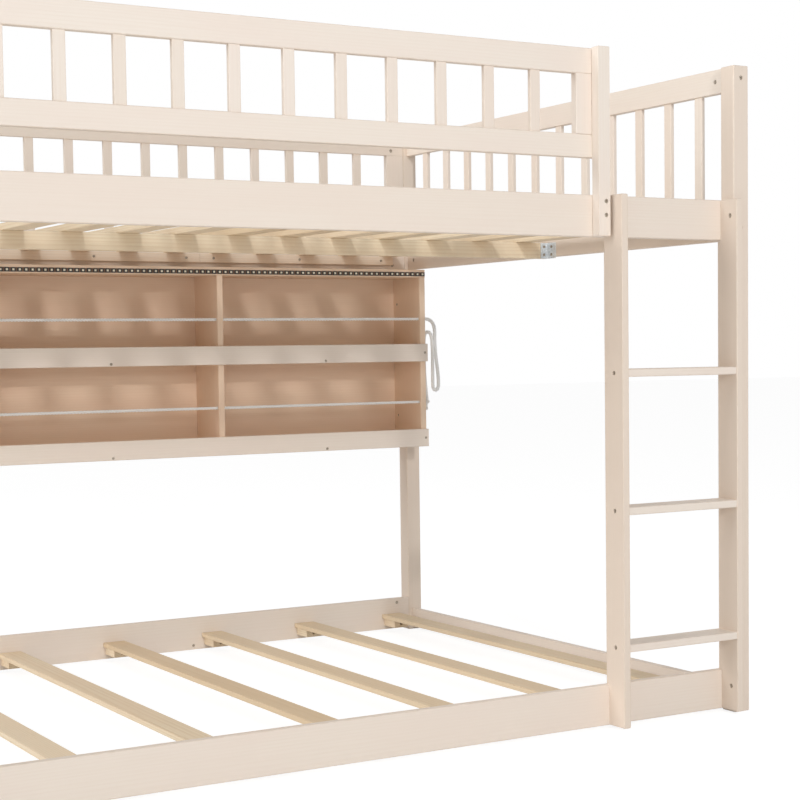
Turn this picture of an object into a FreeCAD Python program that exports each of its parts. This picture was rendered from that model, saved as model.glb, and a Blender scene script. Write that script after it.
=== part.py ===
import FreeCAD, Part
import math
import os

# Low bunk bed of painted pine boards: four corner posts, two slatted decks, guard fences
# round the upper deck, a notched ladder at the front right and a bookshelf at the back.
# Millimetres. X runs along the bed, Y from the ladder side to the back, Z up from the floor.
# The origin is on the floor, at the middle of everything that stands on it.

Vector = FreeCAD.Vector

# Corner posts and outside size
frame_length = 2000.0
frame_width = 1471.0
post_side = 43.0
post_height = 1436.0
edge_ease = 1.5

# Bed rails, the same board above and below
rail_thickness = 18.0
rail_height = 88.0
rail_floor_gap = 7.5
upper_rail_drop = 382.0
lower_end_rail_height = 54.0

# Guard fences; the front one stands a little above the post tops
guard_rail_height = 54.0
front_guard_rise = 12.0
front_guard_lower_height = 49.0
front_guard_opening = 77.5
guard_stile_width = 54.0
spindle_width = 24.5
spindle_thickness = 10.0
spindle_ease = 0.8
front_spindle_count = 12
back_spindle_count = 16
end_spindle_count = 12
guard_post_width = 30.0
guard_post_top_rise = 2.0

# Ladder; its even steps would end just above the upper rail's lower edge
ladder_proud = 28.7
stile_depth = 64.3
stile_thickness = 17.0
ladder_clear_width = 298.0
ladder_guard_gap = 7.0
rung_thickness = 17.0
rung_front_inset = 1.5
rung_first_top = 187.5
rung_count = 3
top_step_rise = 14.0

# Upper deck
upper_slat_thickness = 15.0
upper_slat_width = 50.0
upper_slat_count = 14
upper_slat_right_inset = 35.0
upper_slat_left_inset = 91.0
slat_end_gap = 1.0
cleat_height = 24.0
cleat_thickness = 17.0
cleat_end_inset = 48.0
cleat_gap = 0.5
cleat_count = 3
cleat_top_rise = 36.0
beam_height = 40.0
beam_thickness = 18.0
bracket_beam_leg = 22.0
bracket_rail_leg = 38.0
bracket_height = 40.0
bracket_plate = 2.0

# Lower deck
lower_slat_thickness = 12.0
lower_slat_width = 60.0
lower_slat_count = 7
lower_slat_right_inset = 31.0
lower_slat_left_inset = 107.0
block_height = 21.0
block_width = 45.0
block_depth = 60.0
block_bottom = 19.0

# Bookshelf between the back posts, just below the upper rail
shelf_board = 18.0
shelf_divider_thickness = 16.5
shelf_floor_thickness = 12.0
shelf_back_thickness = 9.0
shelf_lip_thickness = 12.0
shelf_lip_height = 50.0
shelf_top_gap = 9.0
shelf_height = 500.0
shelf_middle_rise = 243.0
shelf_depth = 157.0
shelf_bay_count = 3
halving_clearance = 0.2

# Light strip on the front edge of the bookshelf's top board
strip_height = 11.5
strip_thickness = 1.2
strip_pitch_target = 16.667
led_side = 5.0
led_proud = 1.6

# Rope across the shelves, at its rise above each shelf floor
rope_diameter = 8.0
rope_hole_diameter = 10.0
rope_hole_inset = 11.0
rope_upper_rise = 121.0
rope_lower_rise = 127.0
rope_left_reach = 13.0
knot_diameter = 19.0
knot_seat = 8.0
knot_tail_length = 18.0
knot_tail_sink = 3.0
knot_tail_end = 6.0
arc_share = 0.45

# How far a cutting solid runs past what it cuts
overrun = 1.0

# Places worked out from the sizes above
half_length = frame_length / 2
front_y = -(frame_width - ladder_proud) / 2
back_y = front_y + frame_width
post_inner_x = half_length - post_side
post_middle_x = half_length - post_side / 2
rail_setback = post_side - rail_thickness
front_inner_y = front_y + post_side
back_inner_y = back_y - post_side
front_rail_span = (front_y + rail_setback, front_inner_y)
back_rail_span = (back_inner_y, back_inner_y + rail_thickness)
end_rail_outer_x = post_middle_x + rail_thickness / 2
end_rail_inner_x = post_middle_x - rail_thickness / 2
between_posts_x = (-post_inner_x, post_inner_x)
between_posts_y = (front_inner_y, back_inner_y)
lower_rail_z = (rail_floor_gap, rail_floor_gap + rail_height)
lower_end_rail_z = (rail_floor_gap, rail_floor_gap + lower_end_rail_height)
upper_rail_bottom = post_height - upper_rail_drop
upper_rail_z = (upper_rail_bottom, upper_rail_bottom + rail_height)
cleat_top = upper_rail_bottom + cleat_top_rise
fence_rail_z = (post_height - guard_rail_height, post_height)
front_guard_top = post_height + front_guard_rise
front_guard_lower_bottom = upper_rail_z[1] + front_guard_opening
spindle_inset = (rail_thickness - spindle_thickness) / 2
rung_pitch = (upper_rail_bottom + top_step_rise - rung_first_top) / rung_count
shelf_top_height = upper_rail_bottom - shelf_top_gap
shelf_bottom_height = shelf_top_height - shelf_height
shelf_middle_height = shelf_bottom_height + shelf_middle_rise
rope_upper_height = shelf_middle_height + rope_upper_rise
rope_lower_height = shelf_bottom_height + rope_lower_rise

pieces = {}


def mirrored(span):
    """The same span at the other end of the bed."""
    return (-span[1], -span[0])


def block(x_span, y_span, z_span):
    """A square-edged solid that fills three spans."""
    corner = Vector(x_span[0], y_span[0], z_span[0])
    return Part.makeBox(x_span[1] - x_span[0], y_span[1] - y_span[0], z_span[1] - z_span[0], corner)


def board(x_span, y_span, z_span, ease=edge_ease, ends_eased=False):
    """A planed board: its long edges are eased, and its sawn ends only where they stand free."""
    blank = block(x_span, y_span, z_span)
    longest = max(edge.Length for edge in blank.Edges)
    along = [edge for edge in blank.Edges if math.isclose(edge.Length, longest)]
    return blank.makeChamfer(ease, blank.Edges if ends_eased else along)


def spread(low, high, width, count):
    """Spans of equal members and equal gaps between two limits, ends left open."""
    gap = (high - low - count * width) / (count + 1)
    starts = [low + gap + number * (width + gap) for number in range(count)]
    return [(start, start + width) for start in starts]


def rod(start, direction, length, diameter):
    """A round bar from a point, along a direction."""
    return Part.makeCylinder(diameter / 2, length, start, direction)


def cut_from(names, tool):
    """Cut one tool out of several pieces."""
    for name in names:
        pieces[name] = pieces[name].cut(tool)


def build_posts():
    """Four square corner posts."""
    right = (post_inner_x, half_length)
    front = (front_y, front_inner_y)
    back = (back_inner_y, back_y)
    height = (0, post_height)
    for side, x_span in (("right", right), ("left", mirrored(right))):
        for end, y_span in (("front", front), ("back", back)):
            pieces["post_" + end + "_" + side] = board(x_span, y_span, height, ends_eased=True)


def build_rails():
    """Bed rails of both decks; the end rails stand on the middle of the posts."""
    end_right = (end_rail_inner_x, end_rail_outer_x)
    for deck, side_z, end_z in (
        ("lower", lower_rail_z, lower_end_rail_z),
        ("upper", upper_rail_z, upper_rail_z),
    ):
        pieces[deck + "_rail_front"] = board(between_posts_x, front_rail_span, side_z)
        pieces[deck + "_rail_back"] = board(between_posts_x, back_rail_span, side_z)
        pieces[deck + "_rail_right"] = board(end_right, between_posts_y, end_z)
        pieces[deck + "_rail_left"] = board(mirrored(end_right), between_posts_y, end_z)


ladder_right_stile_x = (post_inner_x - stile_thickness, post_inner_x)
ladder_left_stile_right = ladder_right_stile_x[0] - ladder_clear_width
ladder_left_stile_x = (ladder_left_stile_right - stile_thickness, ladder_left_stile_right)
stile_y = (front_y - ladder_proud, front_y - ladder_proud + stile_depth)
guard_post_right = ladder_left_stile_x[0] - ladder_guard_gap
guard_post_x = (guard_post_right - guard_post_width, guard_post_right)
guard_post_middle_x = guard_post_right - guard_post_width / 2
front_guard_x = (-post_inner_x, guard_post_middle_x)


def spindle_group(cells, across, z_span, along_x):
    """Flat spindles standing side by side, along X or along Y."""
    inner = (across[0] + spindle_inset, across[0] + spindle_inset + spindle_thickness)
    spindles = []
    for cell in cells:
        x_span, y_span = (cell, inner) if along_x else (inner, cell)
        spindles.append(board(x_span, y_span, z_span, spindle_ease))
    return Part.makeCompound(spindles)


def build_front_guard():
    """Ladder-side fence: two rails, end stiles and spindles, and the batten at its free end."""
    left, right = front_guard_x
    top_z = (front_guard_top - guard_rail_height, front_guard_top)
    lower_z = (front_guard_lower_bottom, front_guard_lower_bottom + front_guard_lower_height)
    infill_z = (lower_z[1], top_z[0])
    pieces["guard_front_top_rail"] = board(front_guard_x, front_rail_span, top_z)
    pieces["guard_front_lower_rail"] = board(front_guard_x, front_rail_span, lower_z)
    left_stile = (left, left + guard_stile_width)
    right_stile = (right - guard_stile_width, right)
    pieces["guard_front_stile_left"] = board(left_stile, front_rail_span, infill_z)
    pieces["guard_front_stile_right"] = board(right_stile, front_rail_span, infill_z)
    cells = spread(left_stile[1], right_stile[0], spindle_width, front_spindle_count)
    pieces["guard_front_spindles"] = spindle_group(cells, front_rail_span, infill_z, True)
    batten_y = (front_y, front_rail_span[0])
    batten_z = (upper_rail_z[0], front_guard_top + guard_post_top_rise)
    pieces["guard_post"] = board(guard_post_x, batten_y, batten_z, ends_eased=True)


def build_back_guard():
    """Back fence: a rail flush with the post tops, over stiles and spindles on the bed rail."""
    infill_z = (upper_rail_z[1], fence_rail_z[0])
    pieces["guard_back_top_rail"] = board(between_posts_x, back_rail_span, fence_rail_z)
    right_stile = (post_inner_x - guard_stile_width, post_inner_x)
    pieces["guard_back_stile_right"] = board(right_stile, back_rail_span, infill_z)
    pieces["guard_back_stile_left"] = board(mirrored(right_stile), back_rail_span, infill_z)
    cells = spread(-right_stile[0], right_stile[0], spindle_width, back_spindle_count)
    pieces["guard_back_spindles"] = spindle_group(cells, back_rail_span, infill_z, True)


def build_end_guards():
    """End fences: a rail and spindles in line with the end bed rails."""
    infill_z = (upper_rail_z[1], fence_rail_z[0])
    right = (end_rail_inner_x, end_rail_outer_x)
    cells = spread(front_inner_y, back_inner_y, spindle_width, end_spindle_count)
    for side, across in (("right", right), ("left", mirrored(right))):
        pieces["guard_" + side + "_top_rail"] = board(across, between_posts_y, fence_rail_z)
        pieces["guard_" + side + "_spindles"] = spindle_group(cells, across, infill_z, False)


def build_ladder():
    """Two stiles notched over the lower and upper bed rails, with flat rungs between them."""
    stile_z = (lower_rail_z[0], upper_rail_z[1])
    notch_y = (front_rail_span[0], stile_y[1] + overrun)
    for side, x_span in (("left", ladder_left_stile_x), ("right", ladder_right_stile_x)):
        stile = board(x_span, stile_y, stile_z, ends_eased=True)
        wide = (x_span[0] - overrun, x_span[1] + overrun)
        low_notch = block(wide, notch_y, (stile_z[0] - overrun, lower_rail_z[1]))
        high_notch = block(wide, notch_y, (upper_rail_z[0], stile_z[1] + overrun))
        pieces["ladder_stile_" + side] = stile.cut(low_notch).cut(high_notch)
    rung_x = (ladder_left_stile_x[1], ladder_right_stile_x[0])
    rung_y = (stile_y[0] + rung_front_inset, stile_y[1])
    for number in range(rung_count):
        top = rung_first_top + number * rung_pitch
        rung = board(rung_x, rung_y, (top - rung_thickness, top))
        pieces["ladder_rung_" + str(number + 1)] = rung


def slat_spans(left_inset, right_inset, width, count):
    """X spans of a deck's slats at one pitch, between an inset from each pair of posts."""
    first = -post_inner_x + left_inset
    last = post_inner_x - right_inset - width
    pitch = (last - first) / (count - 1)
    return [(first + number * pitch, first + number * pitch + width) for number in range(count)]


def build_upper_deck():
    """Slats on cleats and a middle beam, and the two plates that hang the beam."""
    cleat_z = (cleat_top - cleat_height, cleat_top)
    first = -post_inner_x + cleat_end_inset
    cleat_pitch = (cleat_gap - 2 * first) / cleat_count
    starts = [first + number * cleat_pitch for number in range(cleat_count)]
    spans = [(start, start + cleat_pitch - cleat_gap) for start in starts]
    front_cleat_y = (front_inner_y, front_inner_y + cleat_thickness)
    back_cleat_y = (back_inner_y - cleat_thickness, back_inner_y)
    for side, y_span in (("front", front_cleat_y), ("back", back_cleat_y)):
        cleats = [board(span, y_span, cleat_z) for span in spans]
        pieces["upper_cleats_" + side] = Part.makeCompound(cleats)
    beam_y_middle = (front_inner_y + back_inner_y) / 2
    beam_y = (beam_y_middle - beam_thickness / 2, beam_y_middle + beam_thickness / 2)
    beam_x = (-end_rail_inner_x, end_rail_inner_x)
    beam_z = (cleat_top - beam_height, cleat_top)
    pieces["upper_beam"] = board(beam_x, beam_y, beam_z)
    slat_z = (cleat_top, cleat_top + upper_slat_thickness)
    slat_y = (front_inner_y + slat_end_gap, back_inner_y - slat_end_gap)
    slats = []
    for x_span in slat_spans(
        upper_slat_left_inset, upper_slat_right_inset, upper_slat_width, upper_slat_count
    ):
        slats.append(board(x_span, slat_y, slat_z))
    pieces["upper_slats"] = Part.makeCompound(slats)
    brackets = [angle_plate(beam_y[0], beam_z, turned) for turned in (False, True)]
    pieces["beam_brackets"] = Part.makeCompound(brackets)


def angle_plate(beam_front, beam_z, turned):
    """Bent zinc plate in the corner of the beam's front face and an end rail."""
    low = (beam_z[0] + beam_z[1] - bracket_height) / 2
    z_span = (low, low + bracket_height)
    right = end_rail_inner_x
    beam_leg_x = (right - bracket_beam_leg, right)
    rail_leg_x = (right - bracket_plate, right)
    if turned:
        beam_leg_x = mirrored(beam_leg_x)
        rail_leg_x = mirrored(rail_leg_x)
    beam_leg = block(beam_leg_x, (beam_front - bracket_plate, beam_front), z_span)
    rail_leg = block(rail_leg_x, (beam_front - bracket_rail_leg, beam_front), z_span)
    return beam_leg.fuse(rail_leg).removeSplitter()


def build_lower_deck():
    """Wide-set slats, each end on its own small block fixed to a side rail."""
    slat_bottom = block_bottom + block_height
    slat_z = (slat_bottom, slat_bottom + lower_slat_thickness)
    block_z = (block_bottom, slat_bottom)
    slat_y = (front_inner_y + slat_end_gap, back_inner_y - slat_end_gap)
    front_block_y = (front_inner_y, front_inner_y + block_depth)
    back_block_y = (back_inner_y - block_depth, back_inner_y)
    slats = []
    blocks = []
    for x_span in slat_spans(
        lower_slat_left_inset, lower_slat_right_inset, lower_slat_width, lower_slat_count
    ):
        middle = x_span[0] + lower_slat_width / 2
        slats.append(board(x_span, slat_y, slat_z))
        block_x = (middle - block_width / 2, middle + block_width / 2)
        for y_span in (front_block_y, back_block_y):
            blocks.append(block(block_x, y_span, block_z))
    pieces["lower_slats"] = Part.makeCompound(slats)
    pieces["lower_slat_blocks"] = Part.makeCompound(blocks)


shelf_front_y = back_y - shelf_depth
shelf_inner_x = (-(post_inner_x - shelf_board), post_inner_x - shelf_board)
shelf_back_y = (back_y - shelf_back_thickness, back_y)
shelf_top_z = (shelf_top_height - shelf_board, shelf_top_height)
shelf_floor_y = (shelf_front_y, shelf_back_y[0])
rope_y = shelf_front_y + rope_hole_inset


def divider_spans():
    """X spans of the upright dividers between equal bays."""
    count = shelf_bay_count - 1
    return spread(shelf_inner_x[0], shelf_inner_x[1], shelf_divider_thickness, count)


def build_shelf_case():
    """Sides, top and back of the bookshelf, with its two floors and their lips."""
    side_x = (shelf_inner_x[1], post_inner_x)
    side_z = (shelf_bottom_height, shelf_top_z[0])
    side_y = (shelf_front_y, back_y)
    pieces["shelf_side_right"] = board(side_x, side_y, side_z)
    pieces["shelf_side_left"] = board(mirrored(side_x), side_y, side_z)
    pieces["shelf_top"] = board(between_posts_x, side_y, shelf_top_z)
    pieces["shelf_back"] = block(shelf_inner_x, shelf_back_y, side_z)
    bottom_z = (shelf_bottom_height, shelf_bottom_height + shelf_floor_thickness)
    middle_z = (shelf_middle_height, shelf_middle_height + shelf_floor_thickness)
    pieces["shelf_bottom"] = block(shelf_inner_x, shelf_floor_y, bottom_z)
    pieces["shelf_middle"] = block(shelf_inner_x, shelf_floor_y, middle_z)
    lip_y = (shelf_front_y - shelf_lip_thickness, shelf_front_y)
    for level, low in (("lower", shelf_bottom_height), ("upper", shelf_middle_height)):
        lip_z = (low, low + shelf_lip_height)
        pieces["shelf_lip_" + level] = board(between_posts_x, lip_y, lip_z)


def build_dividers():
    """Upright dividers halved into the middle floor: each is slotted to half its depth."""
    z_span = (shelf_bottom_height + shelf_floor_thickness, shelf_top_z[0])
    halfway = (shelf_floor_y[0] + shelf_floor_y[1]) / 2
    slot_z = (
        shelf_middle_height - halving_clearance,
        shelf_middle_height + shelf_floor_thickness + halving_clearance,
    )
    for side, x_span in zip(("left", "right"), divider_spans()):
        slot_y = (shelf_floor_y[0] - overrun, halfway)
        slot = block((x_span[0] - overrun, x_span[1] + overrun), slot_y, slot_z)
        pieces["shelf_divider_" + side] = block(x_span, shelf_floor_y, z_span).cut(slot)
        floor_slot_x = (x_span[0] - halving_clearance, x_span[1] + halving_clearance)
        floor_slot_y = (halfway, shelf_floor_y[1] + overrun)
        cut_from(["shelf_middle"], block(floor_slot_x, floor_slot_y, slot_z))


def build_light_strip():
    """Dark flexible strip with a row of small square lights, along the shelf top's edge."""
    strip_y = (shelf_front_y - strip_thickness, shelf_front_y)
    middle_z = (shelf_top_z[0] + shelf_top_z[1]) / 2
    strip_z = (middle_z - strip_height / 2, middle_z + strip_height / 2)
    pieces["light_strip"] = block(between_posts_x, strip_y, strip_z)
    run = between_posts_x[1] - between_posts_x[0]
    count = round(run / strip_pitch_target)
    pitch = run / count
    led_y = (strip_y[0] - led_proud, strip_y[0])
    led_z = (middle_z - led_side / 2, middle_z + led_side / 2)
    first = between_posts_x[0] + pitch / 2
    lights = []
    for number in range(count):
        middle = first + number * pitch
        lights.append(block((middle - led_side / 2, middle + led_side / 2), led_y, led_z))
    pieces["light_strip_leds"] = Part.makeCompound(lights)


# The rope's loose end outside the right side panel, from its upper hole down to the knot:
# outwards from the panel, towards the back, and up from the upper hole.
loop_route = [
    (16.0, 0.0, 0.0),
    (30.0, -1.5, -9.0),
    (36.0, -4.0, -28.0),
    (32.0, -9.0, -70.0),
    (34.0, -13.0, -118.0),
    (38.0, -17.0, -162.0),
    (37.5, -18.5, -204.0),
    (13.5, -19.5, -204.0),
    (13.2, -17.5, -164.0),
    (12.4, -15.5, -116.0),
    (12.2, -14.5, -84.0),
    (12.0, -14.0, -48.0),
    (6.5, 8.0, -48.0),
    (6.8, 8.5, -88.0),
    (6.6, 7.5, -136.0),
    (6.8, 4.0, -184.0),
    (9.5, 0.0, -232.0),
]


def tube_along(points, diameter, edge_turns, edge_radius):
    """Round tube on straight runs joined by tangent arcs, as large as the runs allow.

    The first edge_turns corners go tightly round an edge, so their arcs have its radius."""
    edges = []
    radii = []
    last = points[0]
    for before, here, after in zip(points, points[1:], points[2:]):
        to_here = here - before
        onward = after - here
        half_turn = to_here.getAngle(onward) / 2
        setback = arc_share * min(to_here.Length, onward.Length)
        if len(radii) < edge_turns:
            setback = edge_radius * math.tan(half_turn)
        radii.append(setback / math.tan(half_turn))
        arc_start = here - Vector(to_here).normalize() * setback
        arc_end = here + Vector(onward).normalize() * setback
        bisector = (Vector(onward).normalize() - Vector(to_here).normalize()).normalize()
        reach = radii[-1] / math.cos(half_turn) - radii[-1]
        edges.append(Part.LineSegment(last, arc_start).toShape())
        edges.append(Part.Arc(arc_start, here + bisector * reach, arc_end).toShape())
        last = arc_end
    edges.append(Part.LineSegment(last, points[-1]).toShape())
    path = Part.Wire(edges)
    ring = Part.Wire(Part.makeCircle(diameter / 2, points[0], points[1] - points[0]))
    tube = path.makePipeShell([ring], True, False)
    expected = math.pi * diameter ** 2 / 4 * path.Length
    print("rope length", round(path.Length, 1), "volume share", round(tube.Volume / expected, 4))
    print("rope radii", [round(radius, 1) for radius in radii])
    return tube


def build_rope():
    """White rope threaded through the uprights: two tight runs, a loose loop and a knot."""
    right = post_inner_x
    left = -post_inner_x - rope_left_reach
    upper_hole = Vector(right, rope_y, rope_upper_height)
    link = [
        Vector(left, rope_y, rope_lower_height),
        Vector(left, rope_y, rope_upper_height),
    ]
    loop = [upper_hole + Vector(*offset) for offset in loop_route]
    points = [Vector(right, rope_y, rope_lower_height)] + link + loop
    link_radius = rope_left_reach - rope_diameter / 2
    tube = tube_along(points, rope_diameter, len(link), link_radius)
    pieces["shelf_rope"] = tube.fuse(build_knot(right))
    panels = ["shelf_side_left", "shelf_side_right", "shelf_divider_left", "shelf_divider_right"]
    for height in (rope_upper_height, rope_lower_height):
        mouth = Vector(-post_inner_x - overrun, rope_y, height)
        length = frame_length - 2 * post_side + 2 * overrun
        cut_from(panels, rod(mouth, Vector(1, 0, 0), length, rope_hole_diameter))


def build_knot(panel_face):
    """Knot drawn up against the side panel's lower hole, with its short tail hanging."""
    centre = Vector(panel_face + knot_seat, rope_y, rope_lower_height)
    ball = Part.makeSphere(knot_diameter / 2, centre)
    tail_top = centre - Vector(0, 0, knot_diameter / 2 - knot_tail_sink)
    tail_length = knot_tail_sink + knot_tail_length
    tail = Part.makeCone(rope_diameter / 2, knot_tail_end / 2, tail_length, tail_top, Vector(0, 0, -1))
    around = knot_diameter / 2
    in_panel = block(
        (panel_face - knot_diameter, panel_face),
        (rope_y - around, rope_y + around),
        (rope_lower_height - around, rope_lower_height + around),
    )
    return ball.fuse(tail).cut(in_panel)


def save_all():
    """Write each piece to its own file, and list how many solids each holds."""
    os.makedirs("parts", exist_ok=True)
    for name, shape in pieces.items():
        shape.exportStep("parts/" + name + ".step")
        print(name, len(shape.Solids), "solids", round(shape.Volume), "mm3")


build_posts()
build_rails()
build_front_guard()
build_back_guard()
build_end_guards()
build_ladder()
build_upper_deck()
build_lower_deck()
build_shelf_case()
build_dividers()
build_light_strip()
build_rope()
save_all()
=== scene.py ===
"""Low bunk bed of washed pine boards: its looks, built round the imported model.

Every board, rope, light and fitting is rebuilt here with eased edges, grain and its finish. Boards
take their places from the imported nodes, and only what the model leaves plain has sizes here.
Metres. X runs along the bed, Y from the ladder side to the back, Z up from the floor.
"""

import logging
import math
import random
from contextlib import contextmanager
from dataclasses import dataclass, field, replace
from enum import Enum
from typing import Callable, ClassVar, Iterable, Iterator, Sequence

import bpy
from bpy.types import ID, Material, Mesh, Node, NodeSocket, Object, World
from mathutils import Color, Matrix, Vector


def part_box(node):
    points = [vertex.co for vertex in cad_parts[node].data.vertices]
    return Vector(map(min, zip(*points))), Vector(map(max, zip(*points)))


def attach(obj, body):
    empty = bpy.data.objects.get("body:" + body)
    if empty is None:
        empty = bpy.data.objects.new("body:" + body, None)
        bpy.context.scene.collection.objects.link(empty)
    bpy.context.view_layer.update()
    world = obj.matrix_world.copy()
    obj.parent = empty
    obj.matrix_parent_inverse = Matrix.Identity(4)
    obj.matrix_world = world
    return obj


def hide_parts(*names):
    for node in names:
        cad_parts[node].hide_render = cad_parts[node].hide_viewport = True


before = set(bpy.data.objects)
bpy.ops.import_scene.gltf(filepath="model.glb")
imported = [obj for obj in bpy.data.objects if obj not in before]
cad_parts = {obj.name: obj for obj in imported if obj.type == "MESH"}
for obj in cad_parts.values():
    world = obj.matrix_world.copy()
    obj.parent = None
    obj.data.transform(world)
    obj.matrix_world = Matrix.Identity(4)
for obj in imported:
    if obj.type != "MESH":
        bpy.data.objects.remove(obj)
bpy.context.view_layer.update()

LOG = logging.getLogger("bunk_bed")
MM = 0.001
BODY = "root"
LEVELS = ("lower", "upper")
OVERRUN = 1 * MM
CLOSE = 0.1 * MM
TUBE_RESOLUTION = 2
TUBE_TURN = math.radians(60)
SCREEN_WHITE = 255
WHITE = (1.0, 1.0, 1.0, 1.0)
RING_WIDTH = 5.5 * MM
# A wave texture turns through this many radians for each unit of its scale.
WAVE_RATE = 20.0

Cutter = Callable[[], Object]
Limits = tuple[float, float]
Place = tuple[float, float, float]
Rgba = tuple[float, float, float, float]


class Axis(Enum):
    """The direction that a board, bolt or screw runs in."""

    X = 0
    Y = 1
    Z = 2

    @property
    def unit(self) -> Vector:
        """The unit vector along this axis."""
        return Vector([1.0 if number == self.value else 0.0 for number in range(3)])


class Side(Enum):
    """A side of the bed: its name in the model, the axis across it, and the way outwards."""

    RIGHT = ("right", Axis.X, 1)
    LEFT = ("left", Axis.X, -1)
    FRONT = ("front", Axis.Y, -1)
    BACK = ("back", Axis.Y, 1)

    def __init__(self, label: str, axis: Axis, out: int) -> None:
        """Keep the parts of the value by name.

        Args:
            label: the side's name in the model.
            axis: the direction across this side.
            out: 1 or -1, the way outwards along that axis.
        """
        self.label = label
        self.axis = axis
        self.out = out

    @property
    def opposite(self) -> "Side":
        """The side across the bed."""
        return next(side for side in Side if side.axis is self.axis and side.out == -self.out)


class Ends(Enum):
    """How a board's ends are finished, as a share of its edge radius."""

    SAWN = 0.2
    EASED = 1.0


# Mesh work


def deselect() -> None:
    """Go to object mode with nothing selected."""
    if bpy.context.object is not None and bpy.context.object.mode != "OBJECT":
        bpy.ops.object.mode_set(mode="OBJECT")
    bpy.ops.object.select_all(action="DESELECT")


def pick(obj: Object) -> None:
    """Make one object the only selected and the active one.

    Args:
        obj: the object that the next operators act on.
    """
    deselect()
    obj.select_set(True)
    bpy.context.view_layer.objects.active = obj


@contextmanager
def edit_mode() -> Iterator[None]:
    """Open the active object's mesh in edit mode.

    Yields:
        Nothing; the lines inside run in edit mode.
    """
    bpy.ops.object.mode_set(mode="EDIT")
    yield
    bpy.ops.object.mode_set(mode="OBJECT")


def middle(low: Vector, high: Vector) -> Vector:
    """Find the point halfway between two corners."""
    return (low + high) / 2


def settle(name: str) -> Object:
    """Name the primitive that was just added and move its place into its mesh.

    Args:
        name: the object's name.

    Returns:
        The object, at the origin, unturned and unscaled.
    """
    obj = bpy.context.object
    obj.name = name
    pick(obj)
    bpy.ops.object.transform_apply(location=True, rotation=True, scale=True)
    return obj


def block(name: str, low: Vector, high: Vector) -> Object:
    """Add a square-edged blank at its size and place.

    Args:
        name: the object's name.
        low: its lowest corner.
        high: its highest corner.

    Returns:
        The blank.
    """
    deselect()
    bpy.ops.mesh.primitive_cube_add(size=1.0, location=middle(low, high))
    bpy.context.object.scale = high - low
    return settle(name)


def round_bar(
    name: str, start: Vector, axis: Axis, length: float, diameter: float, sides: int = 24
) -> Object:
    """Add a round bar.

    Args:
        name: the object's name.
        start: the middle of the end that it starts from.
        axis: the direction that it runs in.
        length: its length; a negative one runs backwards.
        diameter: its diameter.
        sides: how many sides stand for its round.

    Returns:
        The bar.
    """
    deselect()
    turn = Vector((0, 0, 1)).rotation_difference(axis.unit)
    bpy.ops.mesh.primitive_cylinder_add(
        vertices=sides,
        radius=diameter / 2,
        depth=abs(length),
        location=start + axis.unit * length / 2,
        rotation=turn.to_euler(),
    )
    return settle(name)


def apply(obj: Object, kind: str, **settings: object) -> Object:
    """Put one modifier on an object and apply it.

    Args:
        obj: the object.
        kind: the modifier's type.
        settings: the modifier's own values.

    Returns:
        The same object.
    """
    pick(obj)
    modifier = obj.modifiers.new(kind.lower(), kind)
    for key, value in settings.items():
        setattr(modifier, key, value)
    bpy.ops.object.modifier_apply(modifier=modifier.name)
    return obj


def cut(obj: Object, tools: Iterable[Object]) -> Object:
    """Cut tools out of an object and remove them.

    Args:
        obj: the object that is cut.
        tools: the solids that are taken away from it.

    Returns:
        The cut object.
    """
    for tool in tools:
        apply(obj, "BOOLEAN", operation="DIFFERENCE", object=tool, solver="EXACT")
        mesh = tool.data
        bpy.data.objects.remove(tool)
        bpy.data.meshes.remove(mesh)
    return obj


def join(name: str, parts: Sequence[Object]) -> Object:
    """Join several objects into one piece.

    Args:
        name: the piece's name.
        parts: the objects.

    Returns:
        The piece.
    """
    deselect()
    for part in parts:
        part.select_set(True)
    bpy.context.view_layer.objects.active = parts[0]
    if len(parts) > 1:
        bpy.ops.object.join()
    parts[0].name = name
    parts[0].data.name = name
    return parts[0]


def copied(obj: Object, name: str, place: Matrix) -> Object:
    """Copy an object with its own mesh, moved by a matrix.

    Args:
        obj: the object that is copied.
        name: the copy's name.
        place: how the copy's mesh is moved.

    Returns:
        The copy, at the origin.
    """
    twin = obj.copy()
    twin.data = obj.data.copy()
    twin.name = name
    twin.data.transform(place)
    bpy.context.scene.collection.objects.link(twin)
    return twin


def linked(name: str, data: ID) -> Object:
    """Add an object to the scene.

    Args:
        name: its name.
        data: the curve, light or camera that it holds.

    Returns:
        The object.
    """
    obj = bpy.data.objects.new(name, data)
    bpy.context.scene.collection.objects.link(obj)
    return obj


def smooth(obj: Object, degrees: float = 35.0) -> Object:
    """Shade an object smooth, with flat faces kept flat.

    Args:
        obj: the object.
        degrees: edges that turn by more stay sharp.

    Returns:
        The same object.
    """
    pick(obj)
    bpy.ops.object.shade_smooth_by_angle(angle=math.radians(degrees))
    return apply(obj, "WEIGHTED_NORMAL", keep_sharp=True, weight=80)


def weigh(mesh: Mesh, share: Callable[[Vector, Vector], float]) -> None:
    """Store how much of a bevel each edge of a mesh takes.

    Args:
        mesh: the mesh.
        share: gives an edge's share from its two ends.
    """
    weights = []
    for edge in mesh.edges:
        first, second = (mesh.vertices[number].co for number in edge.vertices)
        weights.append(share(first, second))
    layer = mesh.attributes.new("bevel_weight_edge", "FLOAT", "EDGE")
    layer.data.foreach_set("value", weights)


def dress(obj: Object, finish: "Finish", nodes: Sequence[str] = ()) -> Object:
    """Give a piece its finish and its body, and hide the model's nodes that it stands for.

    Args:
        obj: the piece.
        finish: its finish.
        nodes: the model's nodes that it replaces.

    Returns:
        The same piece.
    """
    obj.data.materials.clear()
    obj.data.materials.append(finish.material)
    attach(obj, BODY)
    if nodes:
        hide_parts(*nodes)
    LOG.info("%s: %d faces", obj.name, len(obj.data.polygons))
    return obj


# Finishes


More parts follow.
